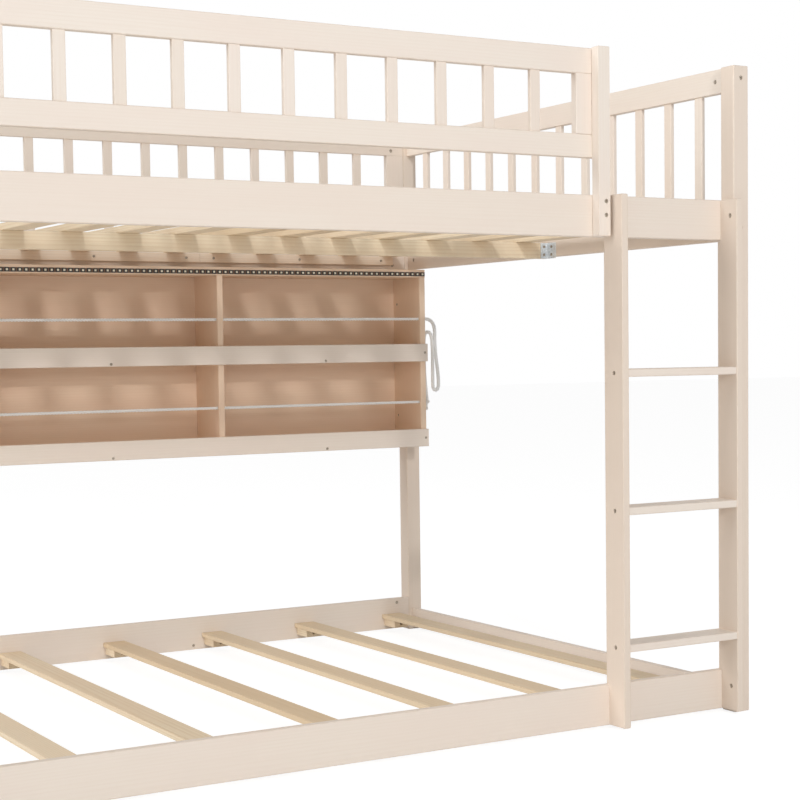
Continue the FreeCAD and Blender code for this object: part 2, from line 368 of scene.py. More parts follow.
@dataclass
class Nodes:
    """A material's or a world's node tree, with short calls that add and join nodes."""

    owner: Material | World

    @classmethod
    def named(cls, name: str) -> "Nodes":
        """Start a material that holds only its output and its main shader.

        Args:
            name: the material's name.

        Returns:
            The material's nodes.
        """
        material = bpy.data.materials.new(name)
        material.use_nodes = True
        return cls(material)

    def add(self, kind: str, inputs: dict | None = None, **settings: object) -> Node:
        """Add a node.

        Args:
            kind: the node's type, without its ShaderNode prefix.
            inputs: a value or a socket for each named or numbered input.
            settings: the node's own properties.

        Returns:
            The node.
        """
        node = self.owner.node_tree.nodes.new("ShaderNode" + kind)
        for key, value in settings.items():
            setattr(node, key, value)
        for key, value in (inputs or {}).items():
            self.feed(node.inputs[key], value)
        return node

    def feed(self, socket: NodeSocket, value: object) -> None:
        """Link a socket to another, or set its value.

        Args:
            socket: the input that is fed.
            value: the socket or the plain value that feeds it.
        """
        if isinstance(value, NodeSocket):
            self.owner.node_tree.links.new(value, socket)
        else:
            socket.default_value = value

    def shade(self, **inputs: object) -> None:
        """Feed the main shader's inputs, named with _ for each space.

        Args:
            inputs: a value or a socket for each input.
        """
        shader = self.owner.node_tree.nodes["Principled BSDF"]
        for key, value in inputs.items():
            self.feed(shader.inputs[key.replace("_", " ")], value)

    def attribute(self, name: str, output: str) -> NodeSocket:
        """Read one of the mesh's own attributes."""
        return self.add("Attribute", attribute_name=name).outputs[output]

    def stretch(self, vector: NodeSocket, figure: "Figure") -> NodeSocket:
        """Scale a vector by a figure's shares along the grain and across it."""
        shares = (figure.along, figure.across, figure.across)
        return self.add("VectorMath", {0: vector, 1: shares}, operation="MULTIPLY").outputs[0]

    def ramp(self, value: NodeSocket, span: Limits, out: Limits = (0.0, 1.0)) -> NodeSocket:
        """Map a range of a value onto another, smoothly and clamped."""
        ends = dict(zip(("From Min", "From Max", "To Min", "To Max"), (*span, *out)))
        return self.add("MapRange", {"Value": value, **ends}, interpolation_type="SMOOTHSTEP").outputs[0]

    def noise(self, vector: NodeSocket, figure: "Figure") -> NodeSocket:
        """Add a noise pattern.

        Args:
            vector: the coordinates that it follows.
            figure: its scale, stretch and contrast.

        Returns:
            The pattern, from 0 to 1.
        """
        place = self.stretch(vector, figure)
        inputs = {"Vector": place, "Scale": figure.scale, "Detail": figure.detail}
        return self.ramp(self.add("TexNoise", inputs).outputs[0], figure.span)

    def math(self, operation: str, first: object, second: object) -> NodeSocket:
        """Join two values by a sum, a product or another operation."""
        return self.add("Math", {0: first, 1: second}, operation=operation).outputs[0]

    def times(self, first: object, second: object) -> NodeSocket:
        """Multiply two values."""
        return self.math("MULTIPLY", first, second)

    def mix(self, factor: object, first: object, second: object) -> NodeSocket:
        """Mix two colours; a colour mix's inputs are its sockets 0, 6 and 7, and it leaves by 2."""
        return self.add("Mix", {0: factor, 6: first, 7: second}, data_type="RGBA").outputs[2]

    def bump(self, height: NodeSocket, distance: float) -> None:
        """Raise the surface by a height pattern."""
        self.shade(Normal=self.add("Bump", {"Height": height, "Distance": distance}).outputs[0])


def colour(*screen: int) -> Rgba:
    """Turn a colour as a screen shows it, 0 to 255, into the linear one that shaders take."""
    return (*Color([value / SCREEN_WHITE for value in screen]).from_srgb_to_scene_linear(), 1.0)


@dataclass(frozen=True)
class Figure:
    """A pattern of a finish: its scale, its stretch along and across, its contrast and detail."""

    scale: float
    along: float = 1.0
    across: float = 1.0
    span: Limits = (0.3, 0.7)
    detail: float = 3.0


@dataclass(frozen=True)
class WoodFinish:
    """Pine, bare or under a thin wash of paint; its figure follows each board's own grain."""

    name: str
    slot: str
    early: Rgba
    late: Rgba
    worn: Rgba
    warm: Rgba
    ring_share: float = 0.12
    fibre_share: float = 0.12
    tone_share: float = 0.5
    board_share: float = 0.7
    edge_share: float = 0.3
    knot_share: float = 0.0
    roughness: float = 0.55
    rough_spread: Limits = (-0.06, 0.08)
    relief: float = 0.05 * MM
    shine: float = 0.35
    rings: Figure = Figure(math.tau / (WAVE_RATE * RING_WIDTH), 0.09, span=(0.35, 1.0), detail=2.0)
    ring_waver: float = 9.0
    ring_waver_scale: float = 0.16
    ring_relief_share: float = 0.4
    fibres: Figure = Figure(420.0, 0.02, span=(0.3, 0.75))
    clouds: Figure = Figure(3.2, across=4.0)
    wear: Figure = Figure(60.0, span=(0.35, 0.65), detail=4.0)
    knots: Figure = Figure(5.5, 0.7, span=(0.028, 0.055))
    knot_chance: float = 0.6

    def material(self) -> Material:
        """Make the material.

        Returns:
            A material that reads the grain, tone and edge attributes of a board.
        """
        tree = Nodes.named(self.name)
        grain = tree.attribute("grain", "Vector")
        rings = self.ring_pattern(tree, grain)
        fibres = tree.noise(grain, self.fibres)
        clouds = tree.noise(grain, self.clouds)
        body = tree.mix(tree.times(rings, self.ring_share), self.early, self.late)
        body = tree.mix(tree.times(fibres, self.fibre_share), body, self.late)
        body = tree.mix(tree.times(clouds, self.tone_share), body, self.warm)
        body = tree.mix(tree.times(tree.attribute("tone", "Fac"), self.board_share), body, self.late)
        if self.knot_share:
            body = tree.mix(self.knot_pattern(tree, grain), body, self.worn)
        wear = tree.times(tree.attribute("edge", "Fac"), tree.noise(grain, self.wear))
        tree.shade(
            Base_Color=tree.mix(tree.times(wear, self.edge_share), body, self.worn),
            Roughness=tree.ramp(fibres, (0, 1), [self.roughness + more for more in self.rough_spread]),
            Specular_IOR_Level=self.shine,
        )
        tree.bump(tree.math("ADD", tree.times(rings, self.ring_relief_share), fibres), self.relief)
        return tree.owner

    def ring_pattern(self, tree: Nodes, grain: NodeSocket) -> NodeSocket:
        """Add growth rings round the board's own length.

        Args:
            tree: the material's nodes.
            grain: the board's own coordinates.

        Returns:
            0 in early wood and 1 in late wood.
        """
        inputs = {
            "Vector": tree.stretch(grain, self.rings),
            "Scale": self.rings.scale,
            "Distortion": self.ring_waver,
            "Detail": self.rings.detail,
            "Detail Scale": self.ring_waver_scale,
        }
        kind = {"wave_type": "RINGS", "rings_direction": "X", "wave_profile": "SAW"}
        return tree.ramp(tree.add("TexWave", inputs, **kind).outputs["Fac"], self.rings.span)

    def knot_pattern(self, tree: Nodes, grain: NodeSocket) -> NodeSocket:
        """Add sparse knots, longer along the grain than across it.

        Args:
            tree: the material's nodes.
            grain: the board's own coordinates.

        Returns:
            How dark each point is, from 0 to the share that this finish allows.
        """
        place = tree.stretch(grain, self.knots)
        cells = tree.add("TexVoronoi", {"Vector": place, "Scale": self.knots.scale}).outputs
        near = tree.ramp(cells["Distance"], self.knots.span, (1.0, 0.0))
        lot = tree.add("SeparateColor", {0: cells["Color"]}).outputs[0]
        chosen = tree.math("GREATER_THAN", lot, self.knot_chance)
        return tree.times(tree.times(near, chosen), self.knot_share)


@dataclass(frozen=True)
class CloudedFinish:
    """Metal, plastic or cotton: a body colour, a second one in its clouds, and a fine relief."""

    name: str
    slot: str
    base: Rgba
    second: Rgba
    roughness: float
    scale: float = 260.0
    relief: float = 0.05 * MM
    rough_rise: float = 0.0
    metal: float = 0.0
    sheen: float = 0.0

    def material(self) -> Material:
        """Make the material.

        Returns:
            A material whose clouds follow each piece's own coordinates.
        """
        tree = Nodes.named(self.name)
        clouds = tree.noise(tree.add("TexCoord").outputs["Object"], Figure(self.scale, detail=4.0))
        tree.shade(
            Base_Color=tree.mix(clouds, self.base, self.second),
            Roughness=tree.ramp(clouds, (0, 1), (self.roughness, self.roughness + self.rough_rise)),
            Metallic=self.metal,
            Sheen_Weight=self.sheen,
        )
        tree.bump(clouds, self.relief)
        return tree.owner


class Finish(Enum):
    """Every finish of the bed."""

    WASH = WoodFinish(
        "washed_pine",
        "painted_wood",
        early=colour(241, 231, 220),
        late=colour(226, 208, 190),
        worn=colour(218, 197, 172),
        warm=colour(239, 224, 213),
    )
    # Painted shade: a warmer, darker copy of the wash for the shelf's boards, standing in for the warm
    # shade inside the shelf; the paint is the same as the rest.
    SHELF_WASH = WoodFinish(
        "shelf_wash_painted_shade",
        "painted_wood",
        early=colour(243, 218, 193),
        late=colour(228, 194, 163),
        worn=colour(214, 180, 148),
        warm=colour(243, 211, 186),
        ring_share=0.15,
        fibre_share=0.15,
        board_share=0.4,
        roughness=0.6,
        relief=0.06 * MM,
    )
    PINE = WoodFinish(
        "bare_pine",
        "pine",
        early=colour(243, 229, 203),
        late=colour(217, 191, 155),
        worn=colour(150, 108, 72),
        warm=colour(240, 218, 190),
        ring_share=0.45,
        fibre_share=0.2,
        board_share=0.75,
        edge_share=0.12,
        knot_share=0.8,
        roughness=0.62,
        relief=0.2 * MM,
    )
    PALE_PINE = replace(
        PINE,
        name="pale_bare_pine",
        early=colour(248, 233, 214),
        late=colour(230, 206, 178),
        warm=colour(246, 226, 206),
        ring_share=0.3,
    )
    ZINC = CloudedFinish(
        "zinc_plate",
        "zinc",
        base=colour(232, 237, 240),
        second=colour(206, 213, 218),
        roughness=0.35,
        rough_rise=0.15,
        metal=0.4,
    )
    STEEL = replace(
        ZINC,
        name="dull_plated_steel",
        slot="fitting_steel",
        base=colour(196, 186, 172),
        second=colour(150, 138, 122),
        roughness=0.4,
        metal=0.6,
    )
    STRIP = CloudedFinish(
        "black_strip",
        "strip",
        base=colour(34, 33, 34),
        second=colour(52, 50, 48),
        roughness=0.45,
        scale=500.0,
    )
    COPPER = CloudedFinish(
        "strip_backing",
        "strip",
        base=colour(118, 88, 64),
        second=colour(92, 68, 50),
        roughness=0.4,
        scale=400.0,
    )
    LAMP = CloudedFinish(
        "unlit_lamp",
        "led",
        base=colour(246, 240, 222),
        second=colour(232, 222, 196),
        roughness=0.3,
        scale=600.0,
        relief=0.03 * MM,
    )
    COTTON = CloudedFinish(
        "cotton_rope",
        "rope",
        base=colour(255, 254, 252),
        second=colour(248, 248, 246),
        roughness=0.9,
        scale=900.0,
        relief=0.2 * MM,
        sheen=1.0,
    )

    @property
    def material(self) -> Material:
        """The finish's material, made when it is first asked for."""
        return bpy.data.materials.get(self.value.name) or self.value.material()


# Fittings


@dataclass(frozen=True)
class Seat:
    """Where a fitting is let into a board: the middle of its mouth, and the way in."""

    point: Vector
    axis: Axis
    way: int

    def matrix(self) -> Matrix:
        """Turn and move a fitting that was made at the origin, with its face up along Z.

        Returns:
            The move from the origin to this seat.
        """
        turn = Vector((0, 0, 1)).rotation_difference(self.axis.unit * -self.way)
        return Matrix.Translation(self.point) @ turn.to_matrix().to_4x4()


def bore(start: Vector, axis: Axis, depth: float, diameter: float) -> Cutter:
    """Describe a round bore that a board is cut with when it is built.

    Args:
        start: the middle of the bore's mouth.
        axis: the direction that it runs in.
        depth: how deep it is; a negative depth runs backwards.
        diameter: its diameter.

    Returns:
        A call that makes the cutting solid, which also stands out of the mouth a little.
    """
    more = math.copysign(OVERRUN, depth)
    return lambda: round_bar("bore", start - axis.unit * more, axis, depth + more, diameter, sides=20)


def notch(low: Vector, high: Vector) -> Cutter:
    """Describe a square notch that a board is cut with when it is built."""
    return lambda: block("notch", low, high)


class Drive(Enum):
    """The recess in a fitting's face: its number of corners."""

    SOCKET = 6
    SLOT = 2
    CROSS = 4


@dataclass
class Fitting:
    """A kind of bolt head, barrel nut or screw, made once and copied to each of its seats."""

    name: str
    drive: Drive
    drive_size: float
    diameter: float
    height: float
    sunk: float = 0.0
    ring: float = 0.0
    seats: list[Seat] = field(default_factory=list)

    rim_share: ClassVar[float] = 0.12
    recess_share: ClassVar[float] = 0.6
    slot_share: ClassVar[float] = 0.2
    upright: ClassVar[float] = 0.9

    def pocket(self, seat: Seat) -> Cutter:
        """Note one seat and describe the counterbore that the fitting needs there.

        Args:
            seat: where the fitting goes.

        Returns:
            A call that makes the cutting solid.
        """
        self.seats.append(seat)
        depth = seat.way * (self.sunk + self.height)
        return bore(seat.point, seat.axis, depth, self.diameter + 2 * self.ring)

    def pattern(self) -> Object:
        """Model one fitting at the origin, its face below z = 0 by its depth in the wood.

        Returns:
            The fitting, with its rim eased and its recess cut.
        """
        top = Vector((0, 0, -self.sunk))
        obj = round_bar("fitting", top, Axis.Z, -self.height, self.diameter)
        pick(obj)
        with edit_mode():
            bpy.ops.mesh.select_all(action="DESELECT")
        for face in obj.data.polygons:
            face.select = face.normal.z > self.upright
        with edit_mode():
            bpy.ops.mesh.bevel(offset=self.height * self.rim_share, segments=2)
        depth = -self.height * self.recess_share
        mouth = top.z + OVERRUN
        if self.drive is Drive.SOCKET:
            start = Vector((0, 0, mouth))
            hexagon = round_bar("socket", start, Axis.Z, depth - OVERRUN, self.drive_size, self.drive.value)
            return smooth(cut(obj, [hexagon]))
        half, slim = self.drive_size / 2, self.drive_size * self.slot_share / 2
        slots = []
        for x, y in ((half, slim), (slim, half))[: self.drive.value // 2]:
            slots.append(block("slot", Vector((-x, -y, top.z + depth)), Vector((x, y, mouth))))
        return smooth(cut(obj, slots))

    def build(self) -> Object:
        """Copy the fitting to every seat and join the copies.

        Returns:
            The joined fittings.
        """
        pattern = self.pattern()
        parts = [copied(pattern, self.name, seat.matrix()) for seat in self.seats]
        bpy.data.objects.remove(pattern)
        return join(self.name, parts)


class FittingBox:
    """The bed's fittings by kind, with no seats at first."""

    def __init__(self) -> None:
        """Take every kind of fitting."""
        self.bolts = Fitting(
            "bolt_heads",
            Drive.SOCKET,
            drive_size=4.0 * MM,
            diameter=7.6 * MM,
            height=3.0 * MM,
            sunk=1.0 * MM,
            ring=1.0 * MM,
        )
        self.nuts = Fitting(
            "barrel_nuts",
            Drive.SLOT,
            drive_size=6.4 * MM,
            diameter=8.6 * MM,
            height=3.0 * MM,
            sunk=0.8 * MM,
            ring=0.7 * MM,
        )
        self.screws = Fitting(
            "board_screws",
            Drive.CROSS,
            drive_size=4.4 * MM,
            diameter=6.6 * MM,
            height=1.6 * MM,
            sunk=0.8 * MM,
            ring=0.7 * MM,
        )
        self.plate_screws = Fitting(
            "plate_screws", Drive.CROSS, drive_size=3.6 * MM, diameter=7.0 * MM, height=1.6 * MM
        )

    def build(self) -> None:
        """Build and dress every kind."""
        for kind in (self.bolts, self.nuts, self.screws, self.plate_screws):
            dress(kind.build(), Finish.STEEL)


# Boards


@dataclass
class Board:
    """One planed board, with its edges eased and its grain laid along it."""

    name: str
    low: Vector
    high: Vector
    axis: Axis
    radius: float
    ends: Ends = Ends.SAWN
    tone: float | None = None
    cuts: list[Cutter] = field(default_factory=list)

    grain_starts: ClassVar[tuple[Limits, ...]] = ((-9, 9), (0.02, 0.07), (0.02, 0.09))
    tone_reach: ClassVar[float] = 0.45
    flush: ClassVar[float] = 0.02 * MM
    worn_from: ClassVar[float] = 0.05 * MM
    worn_share: ClassVar[float] = 0.95

    @classmethod
    def of_node(
        cls, node: str, axis: Axis, radius: float, ends: Ends = Ends.SAWN, tone: float | None = None
    ) -> "Board":
        """Take a board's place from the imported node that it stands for."""
        return cls(node, *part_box(node), axis, radius, ends, tone)

    def let_in(self, fitting: Fitting, side: Side, place: Vector) -> None:
        """Let a fitting into one face of the board.

        Args:
            fitting: the kind of fitting.
            side: the way that the face looks.
            place: a point over or under the fitting's middle.
        """
        point = place.copy()
        point[side.axis.value] = (self.high if side.out > 0 else self.low)[side.axis.value]
        self.cuts.append(fitting.pocket(Seat(point, side.axis, -side.out)))

    def build(self) -> Object:
        """Build the board.

        Returns:
            The board, cut, eased, smooth, and with its grain, tone and edge attributes.
        """
        obj = cut(block(self.name, self.low, self.high), [make() for make in self.cuts])
        weigh(obj.data, self.edge_share)
        apply(obj, "BEVEL", width=self.radius, segments=3, limit_method="WEIGHT", use_clamp_overlap=True)
        self.mark(smooth(obj).data)
        return obj

    def piece(self, finish: Finish) -> Object:
        """Build the board and dress it as the node that it is named for."""
        return dress(self.build(), finish, [self.name])

    def planes(self, point: Vector) -> set[int]:
        """Tell which of the blank's six faces a point lies on.

        Args:
            point: the point.

        Returns:
            The faces, numbered 1 to 3 on the high side and -1 to -3 on the low side.
        """
        found = set()
        for number in range(3):
            if abs(point[number] - self.low[number]) < self.flush:
                found.add(-(number + 1))
            if abs(point[number] - self.high[number]) < self.flush:
                found.add(number + 1)
        return found

    def edge_share(self, first: Vector, second: Vector) -> float:
        """Tell how much an edge is eased; the edges of cuts stay sharp.

        Args:
            first: the edge's one end.
            second: its other end.

        Returns:
            A share of the board's radius.
        """
        if len(self.planes(first) & self.planes(second)) < 2:
            return 0.0
        run = second - first
        return 1.0 if abs(run[self.axis.value]) > run.length / 2 else self.ends.value

    def mark(self, mesh: Mesh) -> None:
        """Store the board's own coordinates, its tone, and where its edges are worn.

        Args:
            mesh: the finished board's mesh.
        """
        dice = random.Random(self.name)
        shift = Vector([dice.uniform(*limits) for limits in self.grain_starts])
        tone = self.tone_reach * dice.random() if self.tone is None else self.tone
        centre = middle(self.low, self.high)
        across = [number for number in range(3) if number != self.axis.value]
        grain, worn = [], []
        for vertex in mesh.vertices:
            place = vertex.co - centre
            grain += [place[number] + more for number, more in zip((self.axis.value, *across), shift)]
            rounded = 0
            for number in across:
                depth = min(vertex.co[number] - self.low[number], self.high[number] - vertex.co[number])
                rounded += self.worn_from < depth < self.radius * self.worn_share
            worn.append(float(rounded > 1))
        mesh.attributes.new("grain", "FLOAT_VECTOR", "POINT").data.foreach_set("vector", grain)
        mesh.attributes.new("edge", "FLOAT", "POINT").data.foreach_set("value", worn)
        tones = [tone] * len(mesh.vertices)
        mesh.attributes.new("tone", "FLOAT", "POINT").data.foreach_set("value", tones)


def spread(span: Limits, width: float, count: int, flush: bool = False) -> list[Limits]:
    """Share out equal members with equal gaps.

    Args:
        span: the two limits.
        width: one member's width.
        count: how many members there are.
        flush: whether the first and the last lie against the limits, with no gap there.

    Returns:
        Each member's two limits.
    """
    gap = (span[1] - span[0] - count * width) / (count - 1 if flush else count + 1)
    first = span[0] if flush else span[0] + gap
    starts = [first + number * (width + gap) for number in range(count)]
    return [(start, start + width) for start in starts]


def row(
    node: str, cells: Sequence[Limits], along: Axis, axis: Axis, radius: float, stem: str = ""
) -> list[Board]:
    """Divide a node's box into a row of boards.

    Args:
        node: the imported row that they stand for.
        cells: each board's two limits.
        along: the direction that the limits are measured in.
        axis: the direction of the boards' grain.
        radius: the round of their edges.
        stem: what their names start with, if not with the node's name.

    Returns:
        The boards, described but not built.
    """
    boards = []
    for number, cell in enumerate(cells):
        low, high = (corner.copy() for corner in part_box(node))
        low[along.value], high[along.value] = cell
        boards.append(Board(f"{stem or node}_{number}", low, high, axis, radius))
    return boards


def one_piece(node: str, boards: Sequence[Board], finish: Finish) -> Object:
    """Build boards, and join and dress them as the node that they stand for."""
    return dress(join(node, [board.build() for board in boards]), finish, [node])


# The bed


@dataclass
class Assembly:
    """One sub-assembly, with the fittings that are let into its boards."""

    fittings: FittingBox

    def build(self) -> None:
        """Build and dress the sub-assembly's pieces."""
        raise NotImplementedError


@dataclass
class BedFrame(Assembly):
    """Posts and bed rails, with the knock-down bolts that draw the rails to the posts."""

    bolt_rise: float = 27 * MM
    bolt_shifts: Limits = (-31.5 * MM, 31.5 * MM)
    nut_reach: float = 32 * MM
    side_nut_reach: float = 40 * MM
    post_radius: float = 3.0 * MM
    rail_radius: float = 2.5 * MM
    # Painted shade: the posts take a fixed darker, warmer tone for the dimmer light that falls on them.
    post_tone: float = 0.8
    # Painted shade: the upper end rails take the darkest tone, standing in for the shade under the deck.
    deck_rail_tone: float = 1.0
    loose_screw: Place = (268.7 * MM, 706.85 * MM, 18.9 * MM)

    def build(self) -> None:
        """Build and dress the posts and bed rails."""
        for side in (Side.RIGHT, Side.LEFT):
            for end in (Side.FRONT, Side.BACK):
                self.post(side, end)
            self.end_rail(f"lower_rail_{side.label}", side, None)
            self.end_rail(f"upper_rail_{side.label}", side, self.deck_rail_tone)
            self.end_rail(f"guard_{side.label}_top_rail", side, None)
        for end in (Side.FRONT, Side.BACK):
            for level in LEVELS:
                self.side_rail(f"{level}_rail_{end.label}", end)

    def post(self, side: Side, end: Side) -> None:
        """Build a post, with bolt heads in its face across the bed and in its end face.

        Args:
            side: the end of the bed that it stands at.
            end: the long side that it stands at.
        """
        node = f"post_{end.label}_{side.label}"
        board = Board.of_node(node, Axis.Z, self.post_radius, Ends.EASED, self.post_tone)
        place = middle(board.low, board.high)
        for rail in (f"upper_rail_{side.label}", f"guard_{side.label}_top_rail"):
            place.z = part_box(rail)[0].z + self.bolt_rise
            board.let_in(self.fittings.bolts, end, place)
        for level in LEVELS:
            centre = middle(*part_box(f"{level}_rail_{end.label}"))
            for shift in self.bolt_shifts:
                board.let_in(self.fittings.bolts, side, Vector((0, centre.y, centre.z + shift)))
        board.piece(Finish.WASH)

    def end_rail(self, node: str, side: Side, tone: float | None) -> None:
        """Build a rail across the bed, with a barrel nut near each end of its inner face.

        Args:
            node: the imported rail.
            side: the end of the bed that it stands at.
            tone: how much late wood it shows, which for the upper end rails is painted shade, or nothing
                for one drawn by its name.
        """
        board = Board.of_node(node, Axis.Y, self.rail_radius, tone=tone)
        for y in (board.low.y + self.nut_reach, board.high.y - self.nut_reach):
            place = Vector((0, y, board.low.z + self.bolt_rise))
            board.let_in(self.fittings.nuts, side.opposite, place)
        board.piece(Finish.WASH)

    def side_rail(self, node: str, end: Side) -> None:
        """Build a long rail, with two barrel nuts near each end of its inner face.

        Args:
            node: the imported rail.
            end: the long side that it stands at.
        """
        board = Board.of_node(node, Axis.X, self.rail_radius)
        level = middle(board.low, board.high).z
        for x in (board.low.x + self.side_nut_reach, board.high.x - self.side_nut_reach):
            for shift in self.bolt_shifts:
                board.let_in(self.fittings.nuts, end.opposite, Vector((x, 0, level + shift)))
        if node == "lower_rail_back":
            seat = Seat(Vector(self.loose_screw), Axis.Y, 1)
            board.cuts.append(self.fittings.screws.pocket(seat))
        board.piece(Finish.WASH)


@dataclass
class Fences(Assembly):
    """Guard fences round the upper bunk."""

    spindle_width: float = 24.5 * MM
    front_count: int = 12
    back_count: int = 16
    end_count: int = 12
    radius: float = 1.6 * MM
    rail_radius: float = 2.5 * MM
    batten_bolts: Limits = (1127.6 * MM, 1098.3 * MM)
    batten_bolt_shift: float = 4 * MM
    back_bolt_rise: float = 13.5 * MM
    back_nut_reach: float = 40 * MM

    def build(self) -> None:
        """Build and dress every fence."""
        for level in ("top", "lower"):
            Board.of_node(f"guard_front_{level}_rail", Axis.X, self.rail_radius).piece(Finish.WASH)
        back = Board.of_node("guard_back_top_rail", Axis.X, self.rail_radius)
        for x in (back.low.x + self.back_nut_reach, back.high.x - self.back_nut_reach):
            place = Vector((x, 0, back.low.z + self.back_bolt_rise))
            back.let_in(self.fittings.nuts, Side.FRONT, place)
        back.piece(Finish.WASH)
        for end in ("front", "back"):
            for side in ("left", "right"):
                Board.of_node(f"guard_{end}_stile_{side}", Axis.Z, self.radius).piece(Finish.WASH)
        batten = Board.of_node("guard_post", Axis.Z, self.rail_radius, Ends.EASED)
        x = middle(batten.low, batten.high).x + self.batten_bolt_shift
        for level in self.batten_bolts:
            batten.let_in(self.fittings.bolts, Side.FRONT, Vector((x, 0, level)))
        batten.piece(Finish.WASH)
        for end, count in (("front", self.front_count), ("back", self.back_count)):
            span = (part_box(f"guard_{end}_stile_left")[1].x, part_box(f"guard_{end}_stile_right")[0].x)
            self.spindles(end, spread(span, self.spindle_width, count), Axis.X)
        span = (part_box("post_front_right")[1].y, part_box("post_back_right")[0].y)
        for side in ("right", "left"):
            self.spindles(side, spread(span, self.spindle_width, self.end_count), Axis.Y)

    def spindles(self, side: str, cells: Sequence[Limits], along: Axis) -> None:
        """Build one fence's spindles."""
        node = f"guard_{side}_spindles"
        one_piece(node, row(node, cells, along, Axis.Z, self.radius), Finish.WASH)


@dataclass
class Ladder(Assembly):
    """Ladder stiles notched over both front bed rails, with flat rungs between them."""

    radius: float = 3.0 * MM
    # Painted shade: the stiles take a fixed darker, warmer tone for the dimmer light that falls on them.
    stile_tone: float = 0.9
    rung_radius: float = 2.5 * MM
    nut_levels: Limits = (63.3 * MM, 1105.8 * MM)
    nut_setback: float = 21.5 * MM
    rung_bolt_setback: float = 30 * MM
    rungs: tuple[str, ...] = ("ladder_rung_1", "ladder_rung_2", "ladder_rung_3")

    def build(self) -> None:
        """Build and dress the ladder."""
        for side in (Side.LEFT, Side.RIGHT):
            node = f"ladder_stile_{side.label}"
            board = Board.of_node(node, Axis.Z, self.radius, Ends.EASED, self.stile_tone)
            board.cuts = self.notches(board)
            for level in self.nut_levels:
                place = Vector((0, board.low.y + self.nut_setback, level))
                board.let_in(self.fittings.nuts, side.opposite, place)
            for rung in self.rungs:
                level = middle(*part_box(rung)).z
                place = Vector((0, board.low.y + self.rung_bolt_setback, level))
                board.let_in(self.fittings.bolts, side, place)
            board.piece(Finish.WASH)
        for rung in self.rungs:
            Board.of_node(rung, Axis.X, self.rung_radius).piece(Finish.WASH)

    def notches(self, board: Board) -> list[Cutter]:
        """Cut a stile away where it seats over the lower and the upper rail.

        Args:
            board: the stile.

        Returns:
            The two cuts, from the rails' front faces back and past the stile's ends.
        """
        rail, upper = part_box("lower_rail_front"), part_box("upper_rail_front")
        foot = Vector((board.low.x - OVERRUN, rail[0].y, board.low.z - OVERRUN))
        seat = Vector((board.low.x - OVERRUN, upper[0].y, upper[0].z))
        top = board.high + Vector((OVERRUN, OVERRUN, OVERRUN))
        return [notch(foot, Vector((top.x, top.y, rail[1].z))), notch(seat, top)]


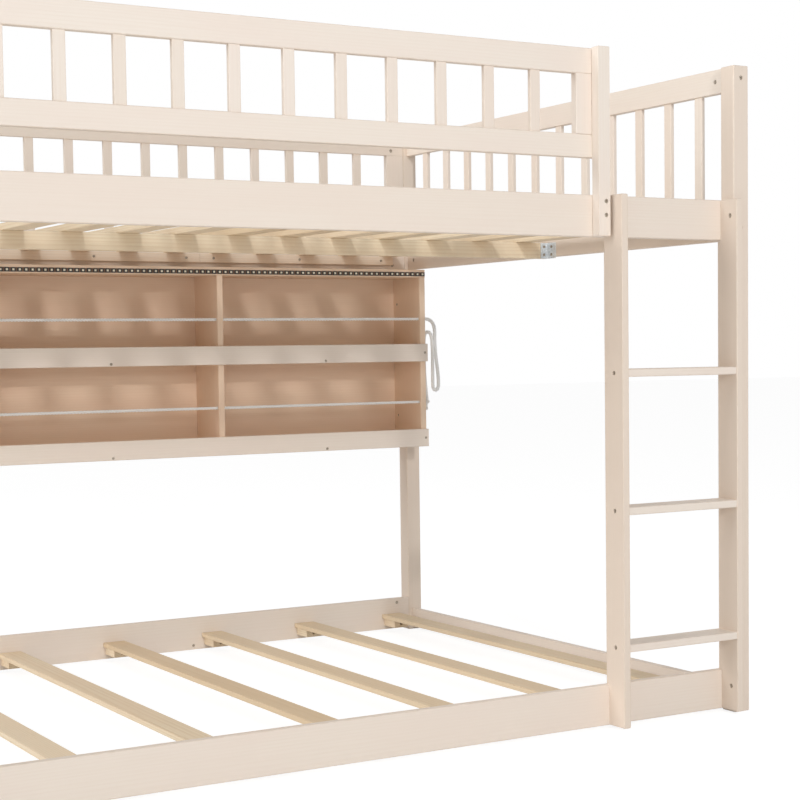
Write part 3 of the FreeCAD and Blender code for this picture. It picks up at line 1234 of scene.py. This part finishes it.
@dataclass
class UpperDeck(Assembly):
    """Slats on cleats and a middle beam, hung from the end rails by bent zinc plates."""

    slat_width: float = 50 * MM
    slat_count: int = 14
    cleat_gap: float = 0.5 * MM
    cleat_count: int = 3
    cleat_screws: Place = (41 * MM, 303.75 * MM, 566.5 * MM)
    screw_rise: float = 12 * MM
    radius: float = 1.5 * MM
    plate: float = 2 * MM
    plate_edge: float = 0.35 * MM
    beam_leg: float = 22 * MM
    bend_radius: float = 3 * MM
    hole: float = 5.2 * MM
    hole_level_shares: Limits = (0.25, 0.75)
    hole_reach_share: float = 0.55

    def build(self) -> None:
        """Build and dress the upper deck."""
        low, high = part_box("upper_slats")
        cells = spread((low.x, high.x), self.slat_width, self.slat_count, flush=True)
        slats = row("upper_slats", cells, Axis.X, Axis.Y, self.radius, "upper_slat")
        dice = random.Random("upper slats")
        for slat in slats:
            slat.tone = dice.random()
        one_piece("upper_slats", slats, Finish.PINE)
        for end in (Side.FRONT, Side.BACK):
            self.cleats(end)
        Board.of_node("upper_beam", Axis.X, self.radius).piece(Finish.PINE)
        plates = [self.angle_plate(way) for way in (1, -1)]
        dress(join("beam_brackets", plates), Finish.ZINC, ["beam_brackets"])

    def cleats(self, end: Side) -> None:
        """Build the battens along one rail, with their screws.

        Args:
            end: the long side of the bed that they lie at.
        """
        node = f"upper_cleats_{end.label}"
        low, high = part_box(node)
        length = (high.x - low.x + self.cleat_gap) / self.cleat_count - self.cleat_gap
        cells = spread((low.x, high.x), length, self.cleat_count, flush=True)
        battens = row(node, cells, Axis.X, Axis.X, self.radius)
        for batten in battens:
            for reach in self.cleat_screws:
                place = batten.low + Vector((reach, 0, self.screw_rise))
                batten.let_in(self.fittings.screws, end.opposite, place)
        one_piece(node, battens, Finish.PALE_PINE)

    def angle_plate(self, way: int) -> Object:
        """Bend one plate from flat: a leg on the beam, and one turned along the end rail.

        Args:
            way: 1 at the right end rail and -1 at the left.

        Returns:
            The plate, thick, drilled and rounded.
        """
        low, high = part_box("beam_brackets")
        corner = Vector((high.x if way > 0 else low.x, high.y, 0))
        leg = high.y - low.y
        deselect()
        bpy.ops.mesh.primitive_plane_add(
            size=1.0,
            location=(corner.x - way * self.beam_leg / 2, corner.y, middle(low, high).z),
            rotation=(math.pi / 2, 0, 0),
        )
        bpy.context.object.scale = (self.beam_leg, high.z - low.z, 1.0)
        obj = settle("angle_plate")
        with edit_mode():
            bpy.ops.mesh.select_all(action="DESELECT")
            bpy.ops.mesh.select_mode(type="EDGE")
        self.select_bend(obj.data, corner)
        with edit_mode():
            bpy.ops.mesh.extrude_edges_move(TRANSFORM_OT_translate={"value": (0, -leg, 0)})
            bpy.ops.mesh.select_all(action="DESELECT")
        self.select_bend(obj.data, corner)
        with edit_mode():
            bpy.ops.mesh.bevel(offset=self.bend_radius, segments=5)
            bpy.ops.mesh.select_all(action="SELECT")
            bpy.ops.mesh.normals_make_consistent(inside=False)
        inside = Vector((-way, -1.0, 0.0))
        outward = sum((face.normal.dot(inside) for face in obj.data.polygons), 0.0) < 0
        apply(obj, "SOLIDIFY", thickness=self.plate, offset=-1.0 if outward else 1.0)
        cut(obj, self.drill(corner - Vector((way * self.plate, self.plate, 0)), leg, way))
        apply(obj, "BEVEL", width=self.plate_edge, segments=1, limit_method="ANGLE")
        return smooth(obj)

    def drill(self, inner: Vector, leg: float, way: int) -> list[Object]:
        """Make an angle plate's drills, and seat its screws on its inner faces.

        Args:
            inner: the plate's inner corner.
            leg: the length of the leg that lies along the end rail.
            way: 1 at the right end rail and -1 at the left.

        Returns:
            The solids that the holes are cut with.
        """
        low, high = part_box("beam_brackets")
        on_beam = inner.x + way * self.plate - way * self.beam_leg * self.hole_reach_share
        on_rail = inner.y + self.plate - leg * self.hole_reach_share
        screw = self.fittings.plate_screws
        holes = []
        for share in self.hole_level_shares:
            level = low.z + share * (high.z - low.z)
            for seat in (
                Seat(Vector((on_beam, inner.y, level)), Axis.Y, 1),
                Seat(Vector((inner.x, on_rail, level)), Axis.X, way),
            ):
                holes.append(bore(seat.point, seat.axis, seat.way * 2 * self.plate, self.hole)())
                raised = seat.point - seat.axis.unit * seat.way * screw.height
                screw.seats.append(replace(seat, point=raised))
        return holes

    def select_bend(self, mesh: Mesh, corner: Vector) -> None:
        """Select the upright edge that stands in the corner.

        Args:
            mesh: the plate's mesh.
            corner: where the plate is bent.
        """
        for edge in mesh.edges:
            ends = [mesh.vertices[number] for number in edge.vertices]
            edge.select = all((end.co.xy - corner.xy).length < CLOSE for end in ends)
            for end in ends:
                end.select = end.select or edge.select


@dataclass
class LowerDeck(Assembly):
    """Wide-set slats, each end on its own small block with one bore for a sunk screw."""

    slat_width: float = 60 * MM
    slat_count: int = 7
    block_width: float = 45 * MM
    block_depth: float = 60 * MM
    block_radius: float = 0.8 * MM
    radius: float = 1.5 * MM
    hole: float = 9 * MM
    hole_depth: float = 14 * MM

    def build(self) -> None:
        """Build and dress the slats and their blocks."""
        low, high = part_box("lower_slats")
        cells = spread((low.x, high.x), self.slat_width, self.slat_count, flush=True)
        slats = row("lower_slats", cells, Axis.X, Axis.Y, self.radius, "lower_slat")
        dice = random.Random("lower slats")
        low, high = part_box("lower_slat_blocks")
        blocks = []
        for number, slat in enumerate(slats):
            slat.tone = dice.random()
            x = middle(slat.low, slat.high).x
            for way, face in ((1, low.y), (-1, high.y)):
                inner = face + way * self.block_depth
                near = Vector((x - self.block_width / 2, min(face, inner), low.z))
                far = Vector((x + self.block_width / 2, max(face, inner), high.z))
                board = Board(f"slat_block_{number}_{way}", near, far, Axis.Y, self.block_radius)
                mouth = Vector((x, inner, middle(low, high).z))
                board.cuts = [bore(mouth, Axis.Y, -way * self.hole_depth, self.hole)]
                blocks.append(board)
        one_piece("lower_slats", slats, Finish.PINE)
        one_piece("lower_slat_blocks", blocks, Finish.PINE)


@dataclass(frozen=True)
class RopeRuns:
    """Where the rope's two tight runs pass through the bookshelf."""

    upper: float = 909 * MM
    lower: float = 672 * MM
    inset: float = 11 * MM

    @property
    def y(self) -> float:
        """The runs' place from front to back."""
        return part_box("shelf_side_right")[0].y + self.inset


@dataclass
class Bookshelf(Assembly):
    """Three-bay bookshelf between the back posts, with lips, and uprights halved into a floor."""

    runs: RopeRuns = RopeRuns()
    rope_hole: float = 10 * MM
    clearance: float = 0.2 * MM
    radius: float = 1.8 * MM
    sheet_radius: float = 0.8 * MM
    top_rise: float = 4 * MM
    lip_screw_rise: float = 6 * MM
    lip_tone: float = 0.25
    side_screws: Limits = (954 * MM, 631 * MM)
    side_screw_shift: float = -6 * MM

    def build(self) -> None:
        """Build and dress the bookshelf."""
        for side in (Side.RIGHT, Side.LEFT):
            self.panel(side)
        self.uprights()
        top = Board.of_node("shelf_top", Axis.X, self.radius)
        top.high.z += self.top_rise
        top.piece(Finish.SHELF_WASH)
        for node in ("shelf_back", "shelf_bottom"):
            Board.of_node(node, Axis.X, self.sheet_radius).piece(Finish.SHELF_WASH)
        for level in LEVELS:
            self.lip(f"shelf_lip_{level}")

    def rope_holes(self, board: Board) -> list[Cutter]:
        """Describe the bores for the rope through an upright.

        Args:
            board: the upright.

        Returns:
            One cut for each run.
        """
        through = board.high.x - board.low.x + OVERRUN
        starts = [Vector((board.low.x, self.runs.y, level)) for level in (self.runs.upper, self.runs.lower)]
        return [bore(start, Axis.X, through, self.rope_hole) for start in starts]

    def panel(self, side: Side) -> None:
        """Build a side panel, which is screwed to its back post.

        Args:
            side: the end of the bed that it stands at.
        """
        board = Board.of_node(f"shelf_side_{side.label}", Axis.Z, self.radius)
        board.cuts = self.rope_holes(board)
        y = middle(*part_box(f"post_back_{side.label}")).y + self.side_screw_shift
        for level in self.side_screws:
            board.let_in(self.fittings.screws, side.opposite, Vector((0, y, level)))
        board.piece(Finish.SHELF_WASH)

    def uprights(self) -> None:
        """Build the uprights and the middle floor, which slot into each other."""
        floor = Board.of_node("shelf_middle", Axis.X, self.sheet_radius)
        halfway = middle(floor.low, floor.high).y
        gap = self.clearance
        for side in ("left", "right"):
            board = Board.of_node(f"shelf_divider_{side}", Axis.Z, self.sheet_radius)
            board.cuts = self.rope_holes(board)
            low = Vector((board.low.x - OVERRUN, board.low.y - OVERRUN, floor.low.z - gap))
            board.cuts.append(notch(low, Vector((board.high.x + OVERRUN, halfway, floor.high.z + gap))))
            board.piece(Finish.SHELF_WASH)
            high = Vector((board.high.x + gap, floor.high.y + OVERRUN, floor.high.z + OVERRUN))
            floor.cuts.append(notch(Vector((board.low.x - gap, halfway, floor.low.z - OVERRUN)), high))
        floor.piece(Finish.SHELF_WASH)

    def lip(self, node: str) -> None:
        """Build a lip, screwed to the floor behind it and to the side panels.

        Args:
            node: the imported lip.
        """
        board = Board.of_node(node, Axis.X, self.radius, tone=self.lip_tone)
        walls = [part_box("shelf_side_left")[1].x]
        for side in ("left", "right"):
            walls.append(middle(*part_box(f"shelf_divider_{side}")).x)
        walls.append(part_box("shelf_side_right")[0].x)
        for near, far in zip(walls, walls[1:]):
            place = Vector(((near + far) / 2, 0, board.low.z + self.lip_screw_rise))
            board.let_in(self.fittings.screws, Side.FRONT, place)
        for side in ("left", "right"):
            x = middle(*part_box(f"shelf_side_{side}")).x
            place = Vector((x, 0, middle(board.low, board.high).z))
            board.let_in(self.fittings.screws, Side.FRONT, place)
        board.piece(Finish.WASH)


@dataclass
class LightStrip(Assembly):
    """Unlit light strip: a bare backing, black rounded covers, and one small lamp on each."""

    count: int = 115
    cover_length: float = 12.4 * MM
    cover_corner: float = 2.6 * MM
    backing: float = 0.4 * MM
    backing_edge: float = 0.1 * MM
    lamp_side: float = 5 * MM
    lens: float = 3.8 * MM
    lens_depth: float = 0.3 * MM

    def build(self) -> None:
        """Build and dress the strip."""
        low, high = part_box("light_strip")
        tape = block("light_strip", Vector((low.x, high.y - self.backing, low.z)), high)
        apply(tape, "BEVEL", width=self.backing_edge, segments=1)
        dress(smooth(tape), Finish.COPPER, ["light_strip"])
        cover = self.cover(low, high)
        lamp = self.lamp(low, high)
        pitch = (high.x - low.x) / self.count
        covers, lamps = [], []
        for number in range(self.count):
            place = Matrix.Translation((low.x + (number + 1 / 2) * pitch, 0, 0))
            covers.append(copied(cover, "cover", place))
            lamps.append(copied(lamp, "lamp", place))
        for pattern in (cover, lamp):
            bpy.data.objects.remove(pattern)
        dress(join("light_strip_covers", covers), Finish.STRIP)
        dress(join("light_strip_lamps", lamps), Finish.LAMP, ["light_strip_leds"])

    def cover(self, low: Vector, high: Vector) -> Object:
        """Model one cover at x = 0: a flat block with rounded corners.

        Args:
            low: the strip's lowest corner.
            high: its highest corner.

        Returns:
            The cover.
        """
        half = self.cover_length / 2
        near, far = Vector((-half, low.y, low.z)), Vector((half, high.y - self.backing, high.z))
        obj = block("cover", near, far)
        weigh(obj.data, lambda first, second: float(abs(second.y - first.y) > CLOSE))
        return apply(obj, "BEVEL", width=self.cover_corner, segments=3, limit_method="WEIGHT")

    def lamp(self, low: Vector, high: Vector) -> Object:
        """Model one lamp at x = 0: a square body with a round sunken lens.

        Args:
            low: the strip's lowest corner.
            high: its highest corner.

        Returns:
            The lamp.
        """
        half = self.lamp_side / 2
        level = middle(low, high).z
        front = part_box("light_strip_leds")[0].y
        obj = block("lamp", Vector((-half, front, level - half)), Vector((half, low.y, level + half)))
        return cut(obj, [bore(Vector((0, front, level)), Axis.Y, self.lens_depth, self.lens)()])


# The rope


def drawn(name: str, kind: str, paths: Sequence[Sequence[Vector]]) -> Object:
    """Draw paths as one curve.

    Args:
        name: the object's name.
        kind: how its points steer it, such as POLY.
        paths: one list of points for each spline.

    Returns:
        The curve object.
    """
    curve = bpy.data.curves.new(name, "CURVE")
    curve.dimensions = "3D"
    for path in paths:
        spline = curve.splines.new(kind)
        spline.points.add(len(path) - 1)
        for point, place in zip(spline.points, path):
            point.co = (*place, 1.0)
    return linked(name, curve)


def resampled(line: Sequence[Vector], step: float) -> list[Vector]:
    """Set points at one spacing along a line.

    Args:
        line: the line's points.
        step: the spacing.

    Returns:
        The evenly spaced points.
    """
    places = [line[0].copy()]
    carry = 0.0
    for first, second in zip(line, line[1:]):
        run = (second - first).length
        reach = step - carry
        while reach <= run:
            places.append(first.lerp(second, reach / run))
            reach += step
        carry = run - (reach - step)
    places.append(line[-1].copy())
    return places


def carried_frames(places: Sequence[Vector]) -> list[tuple[Vector, Vector]]:
    """Carry a pair of cross directions along a line without twisting them.

    Args:
        places: the line's points.

    Returns:
        The two cross directions at each point.
    """
    ahead = (places[1] - places[0]).normalized()
    side = ahead.orthogonal().normalized()
    frames = []
    for index in range(len(places)):
        following = places[min(index + 1, len(places) - 1)]
        onward = (following - places[max(index - 1, 0)]).normalized()
        side = (ahead.rotation_difference(onward) @ side).normalized()
        ahead = onward
        frames.append((side, ahead.cross(side).normalized()))
    return frames


def tubes(
    name: str, paths: Sequence[Sequence[Vector]], radius: float, shares: Sequence[float] = ()
) -> Object:
    """Run round tubes along paths, with closed ends, as one mesh.

    Args:
        name: the piece's name.
        paths: one list of points for each tube.
        radius: the tubes' radius.
        shares: a share of the radius for each point of a path, or nothing for even tubes.

    Returns:
        The mesh object.
    """
    obj = drawn(name, "POLY", paths)
    curve = obj.data
    curve.bevel_depth = radius
    curve.bevel_resolution = TUBE_RESOLUTION
    curve.use_fill_caps = True
    for spline in curve.splines:
        for point, share in zip(spline.points, shares):
            point.radius = share
    pick(obj)
    bpy.ops.object.convert(target="MESH")
    obj = bpy.context.object
    obj.name = name
    bpy.ops.object.shade_smooth_by_angle(angle=TUBE_TURN)
    return obj


@dataclass
class Rope(Assembly):
    """One laid cotton rope: two tight runs through the uprights, a loose loop and a knot.

    The loop's offsets from the upper right hole are in millimetres.
    """

    runs: RopeRuns = RopeRuns()
    diameter: float = 8 * MM
    length: float = 4.681
    lay: float = 26 * MM
    step: float = 3 * MM
    strands: int = 3
    near_edge: float = 30 * MM
    link_out: float = 13 * MM
    overlap: float = 1.06
    slack_start: float = 12 * MM
    slack_share: float = 1.3
    knot_out: float = 8 * MM
    knot_tube: float = 6.6 * MM
    knot_wide: float = 2.5 * MM
    knot_bulge_share: float = 1.3
    knot_lay_share: float = 0.8
    knot_points: int = 60
    tail: float = 18 * MM
    tail_drop: float = 6 * MM
    tail_yarns: int = 22
    yarn: float = 0.55 * MM
    yarn_swing: float = 2.2 * MM
    yarn_start_share: float = 0.6
    yarn_length_shares: Limits = (0.75, 1.0)
    yarn_spread_shares: Limits = (1.3, 2.2)
    loop: tuple[Place, ...] = (
        (16.0, 0.0, 0.0),
        (30.0, -1.5, -9.0),
        (36.0, -4.0, -28.0),
        (32.0, -9.0, -70.0),
        (34.0, -13.0, -118.0),
        (38.0, -17.0, -162.0),
        (37.5, -18.5, -204.0),
        (17.0, -20.0, -204.0),
        (18.5, -18.0, -164.0),
        (20.0, -16.0, -116.0),
        (20.5, -15.5, -84.0),
        (18.5, -13.0, -38.0),
        (7.0, 7.0, -36.0),
        (6.8, 8.5, -88.0),
        (6.6, 7.5, -136.0),
        (6.8, 4.0, -184.0),
        (9.5, 0.0, -232.0),
    )

    def build(self) -> None:
        """Build and dress the rope, its knot and its frayed end."""
        route = self.route()
        line = self.centreline(route)
        rope = self.laid("shelf_rope", line, self.diameter, self.lay, self.swell(line))
        knot = self.knot(route[0])
        dress(rope, Finish.COTTON, ["shelf_rope"])
        dress(knot, Finish.COTTON)
        tail = self.frayed(route[0])
        dress(tail, Finish.COTTON)

    def route(self) -> list[Vector]:
        """List the rope's given points.

        Returns:
            The points, from the lower right hole round the left panel and back to the knot.
        """
        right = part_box("shelf_side_right")[1].x
        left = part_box("shelf_side_left")[0].x - self.link_out
        upper, lower, near = self.runs.upper, self.runs.lower, self.near_edge
        points = [
            (right, lower),
            (left + near, lower),
            (left, lower),
            (left, lower + near),
            (left, upper - near),
            (left, upper),
            (left + near, upper),
            (right - OVERRUN, upper),
        ]
        hole = Vector((right, self.runs.y, upper))
        loop = [hole + Vector(offset) * MM for offset in self.loop]
        return [Vector((x, self.runs.y, z)) for x, z in points] + loop

    def centreline(self, route: Sequence[Vector]) -> list[Vector]:
        """Read the smooth line that the route's points steer.

        Args:
            route: the control points.

        Returns:
            Points along the line.
        """
        holder = drawn("rope_route", "NURBS", [route])
        curve = holder.data
        curve.splines[0].order_u = 3
        curve.splines[0].use_endpoint_u = True
        curve.resolution_u = 16
        bpy.context.view_layer.update()
        mesh = bpy.data.meshes.new_from_object(holder)
        line = [vertex.co.copy() for vertex in mesh.vertices]
        bpy.data.objects.remove(holder)
        bpy.data.curves.remove(curve)
        bpy.data.meshes.remove(mesh)
        return line

    def swell(self, line: Sequence[Vector]) -> list[float]:
        """Tell how full the rope lies: tight in the shelves, fuller where it hangs slack.

        Args:
            line: the rope's centreline.

        Returns:
            A share of the rope's diameter for each step along it.
        """
        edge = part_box("shelf_side_right")[1].x
        outside = [(place.x - edge) / self.slack_start for place in resampled(line, self.step)]
        return [1 + (self.slack_share - 1) * min(max(share, 0.0), 1.0) for share in outside]

    def laid(
        self, name: str, line: Sequence[Vector], diameter: float, lay: float, swell: Sequence[float] = ()
    ) -> Object:
        """Twist strands round a line.

        Args:
            name: the piece's name.
            line: the rope's centreline.
            diameter: the rope's diameter.
            lay: how far one strand goes while it turns once.
            swell: a share of the diameter for each step, or nothing for an even rope.

        Returns:
            The laid rope as one mesh.
        """
        share = math.sin(math.pi / self.strands) / (1 + math.sin(math.pi / self.strands))
        strand = diameter / 2 * share
        places = resampled(line, self.step)
        frames = carried_frames(places)
        shares = list(swell) or [1.0] * len(places)
        paths = []
        for number in range(self.strands):
            path = []
            for index, (place, (side, up)) in enumerate(zip(places, frames)):
                angle = math.tau * (index * self.step / lay + number / self.strands)
                swing = side * math.cos(angle) + up * math.sin(angle)
                path.append(place + swing * (diameter / 2 - strand) * shares[index])
            paths.append(path)
        return tubes(name, paths, strand * self.overlap, shares)

    def knot(self, hole: Vector) -> Object:
        """Tie an overhand knot against the panel: a laid rope drawn along a trefoil.

        Args:
            hole: the mouth of the hole that the knot stops in.

        Returns:
            The knot.
        """
        wide = self.knot_wide
        centre = hole + Vector((self.knot_out, 0, 0))
        line = []
        for index in range(self.knot_points + 1):
            t = math.tau * index / self.knot_points
            across = math.sin(t) + 2 * math.sin(2 * t)
            rise = math.cos(t) - 2 * math.cos(2 * t)
            out = -math.sin(3 * t) * self.knot_bulge_share
            line.append(centre + Vector((out * wide, across * wide, rise * wide)))
        return self.laid("rope_knot", line, self.knot_tube, self.lay * self.knot_lay_share)

    def frayed(self, hole: Vector) -> Object:
        """Let the rope's cut end hang below the knot in loose yarns.

        Args:
            hole: the mouth of the hole that the knot stops in.

        Returns:
            The yarns, none of which reaches back into the panel.
        """
        dice = random.Random("frayed end")
        start = hole + Vector((self.knot_out, 0, -self.tail_drop))
        paths = []
        for _ in range(self.tail_yarns):
            swing = Vector((dice.uniform(-1, 1), dice.uniform(-1, 1), 0)) * self.yarn_swing
            drop = Vector((0, 0, -self.tail * dice.uniform(*self.yarn_length_shares)))
            wide = swing * dice.uniform(*self.yarn_spread_shares)
            wide.x = max(wide.x, -self.tail_drop)
            bend = start + swing + drop / 2
            paths.append([start + swing * self.yarn_start_share, bend, start + wide + drop])
        return tubes("rope_tail", paths, self.yarn)


# The studio


@dataclass
class Lamp:
    """One soft box."""

    name: str
    place: Place
    aim: Place
    width: float
    power: float

    def build(self) -> None:
        """Hang the soft box and turn it towards its aim."""
        data = bpy.data.lights.new(self.name, "AREA")
        data.shape = "SQUARE"
        data.size = self.width
        data.energy = self.power
        lamp = linked(self.name, data)
        lamp.location = self.place
        lamp.rotation_euler = (Vector(self.aim) - Vector(self.place)).to_track_quat("-Z", "Y").to_euler()


def seen_rays(tree: Nodes) -> NodeSocket:
    """Tell the rays by which the white room is seen, straight or in metal and glass.

    Args:
        tree: the nodes of the floor's material or of the world.

    Returns:
        1 for such a ray, and 0 for one that only carries light.
    """
    rays = tree.add("LightPath").outputs
    mirrored = tree.math("MAXIMUM", rays["Is Glossy Ray"], rays["Is Transmission Ray"])
    return tree.math("MAXIMUM", rays["Is Camera Ray"], mirrored)


@dataclass
class Studio:
    """White room, soft boxes, and the camera where the picture was taken from."""

    camera_place: Place = (-1.6403, -3.6764, 0.8195)
    yaw: float = 0.53111
    pitch: float = 0.05697
    roll: float = 0.01351
    lens: float = 78.41
    sensor: float = 36.0
    rise: float = 0.0625
    sight: float = 200.0
    floor_reach: float = 60.0
    floor_drop: float = 0.2 * MM
    floor_white: Rgba = (0.95, 0.95, 0.95, 1.0)
    floor_roughness: float = 0.9
    floor_share: float = 0.7
    floor_glow: float = 1.22
    world_light: float = 0.36
    lamps: tuple[Lamp, ...] = (
        Lamp("key", (-0.45, -6.1, 2.95), (0.2, 0.0, 1.0), 0.3, 92.0),
        Lamp("low", (-0.9, -7.8, 2.35), (0.2, 0.0, 0.6), 1.0, 77.0),
        Lamp("side", (-11.0, 0.0, 4.6), (0.6, -0.5, 0.8), 4.8, 690.0),
        Lamp("top", (0.5, -0.5, 6.0), (0.0, 0.0, 0.0), 4.0, 20.0),
    )

    def build(self) -> None:
        """Build the room, the lamps and the camera."""
        self.floor()
        self.world()
        for lamp in self.lamps:
            lamp.build()
        self.camera()
        bpy.context.scene.view_settings.view_transform = "Standard"

    def floor(self) -> None:
        """Lay a white floor that keeps the bed's shadow."""
        deselect()
        bpy.ops.mesh.primitive_plane_add(size=self.floor_reach, location=(0, 0, -self.floor_drop))
        floor = settle("studio_floor")
        tree = Nodes.named("studio_floor")
        tree.shade(Base_Color=self.floor_white, Roughness=self.floor_roughness)
        nodes = tree.owner.node_tree.nodes
        glow = tree.add("Emission", {"Color": WHITE, "Strength": self.floor_glow}).outputs[0]
        share = tree.times(seen_rays(tree), self.floor_share)
        lit = nodes["Principled BSDF"].outputs[0]
        mixed = tree.add("MixShader", {0: share, 1: lit, 2: glow}).outputs[0]
        tree.feed(nodes["Material Output"].inputs["Surface"], mixed)
        floor.data.materials.append(tree.owner)

    def world(self) -> None:
        """Light the room evenly, and let it read as white."""
        world = bpy.data.worlds.new("studio")
        world.use_nodes = True
        tree = Nodes(world)
        background = world.node_tree.nodes["Background"].inputs
        inputs = {"Value": seen_rays(tree), "To Min": self.world_light, "To Max": 1.0}
        tree.feed(background["Color"], WHITE)
        tree.feed(background["Strength"], tree.add("MapRange", inputs).outputs[0])
        bpy.context.scene.world = world

    def camera(self) -> None:
        """Set the camera where the picture was taken from."""
        data = bpy.data.cameras.new("camera")
        data.lens = self.lens
        data.sensor_width = self.sensor
        data.shift_y = self.rise
        data.clip_end = self.sight
        camera = linked("camera", data)
        across, ahead = math.sin(self.yaw), math.cos(self.yaw)
        level = math.cos(self.pitch)
        forward = Vector((across * level, ahead * level, -math.sin(self.pitch)))
        flat_right = Vector((ahead, -across, 0.0))
        flat_down = forward.cross(flat_right)
        right = flat_right * math.cos(self.roll) + flat_down * math.sin(self.roll)
        down = flat_down * math.cos(self.roll) - flat_right * math.sin(self.roll)
        turn = Matrix((right, -down, -forward)).transposed().to_4x4()
        camera.matrix_world = Matrix.Translation(self.camera_place) @ turn
        bpy.context.scene.camera = camera


def main() -> None:
    """Build the room and the bed in order."""
    logging.basicConfig(level=logging.INFO, format="%(message)s")
    Studio().build()
    fittings = FittingBox()
    for kind in (Rope, BedFrame, Fences, Ladder, UpperDeck, LowerDeck, Bookshelf, LightStrip):
        kind(fittings).build()
    fittings.build()
    bpy.context.view_layer.update()


if __name__ == "__main__":
    main()
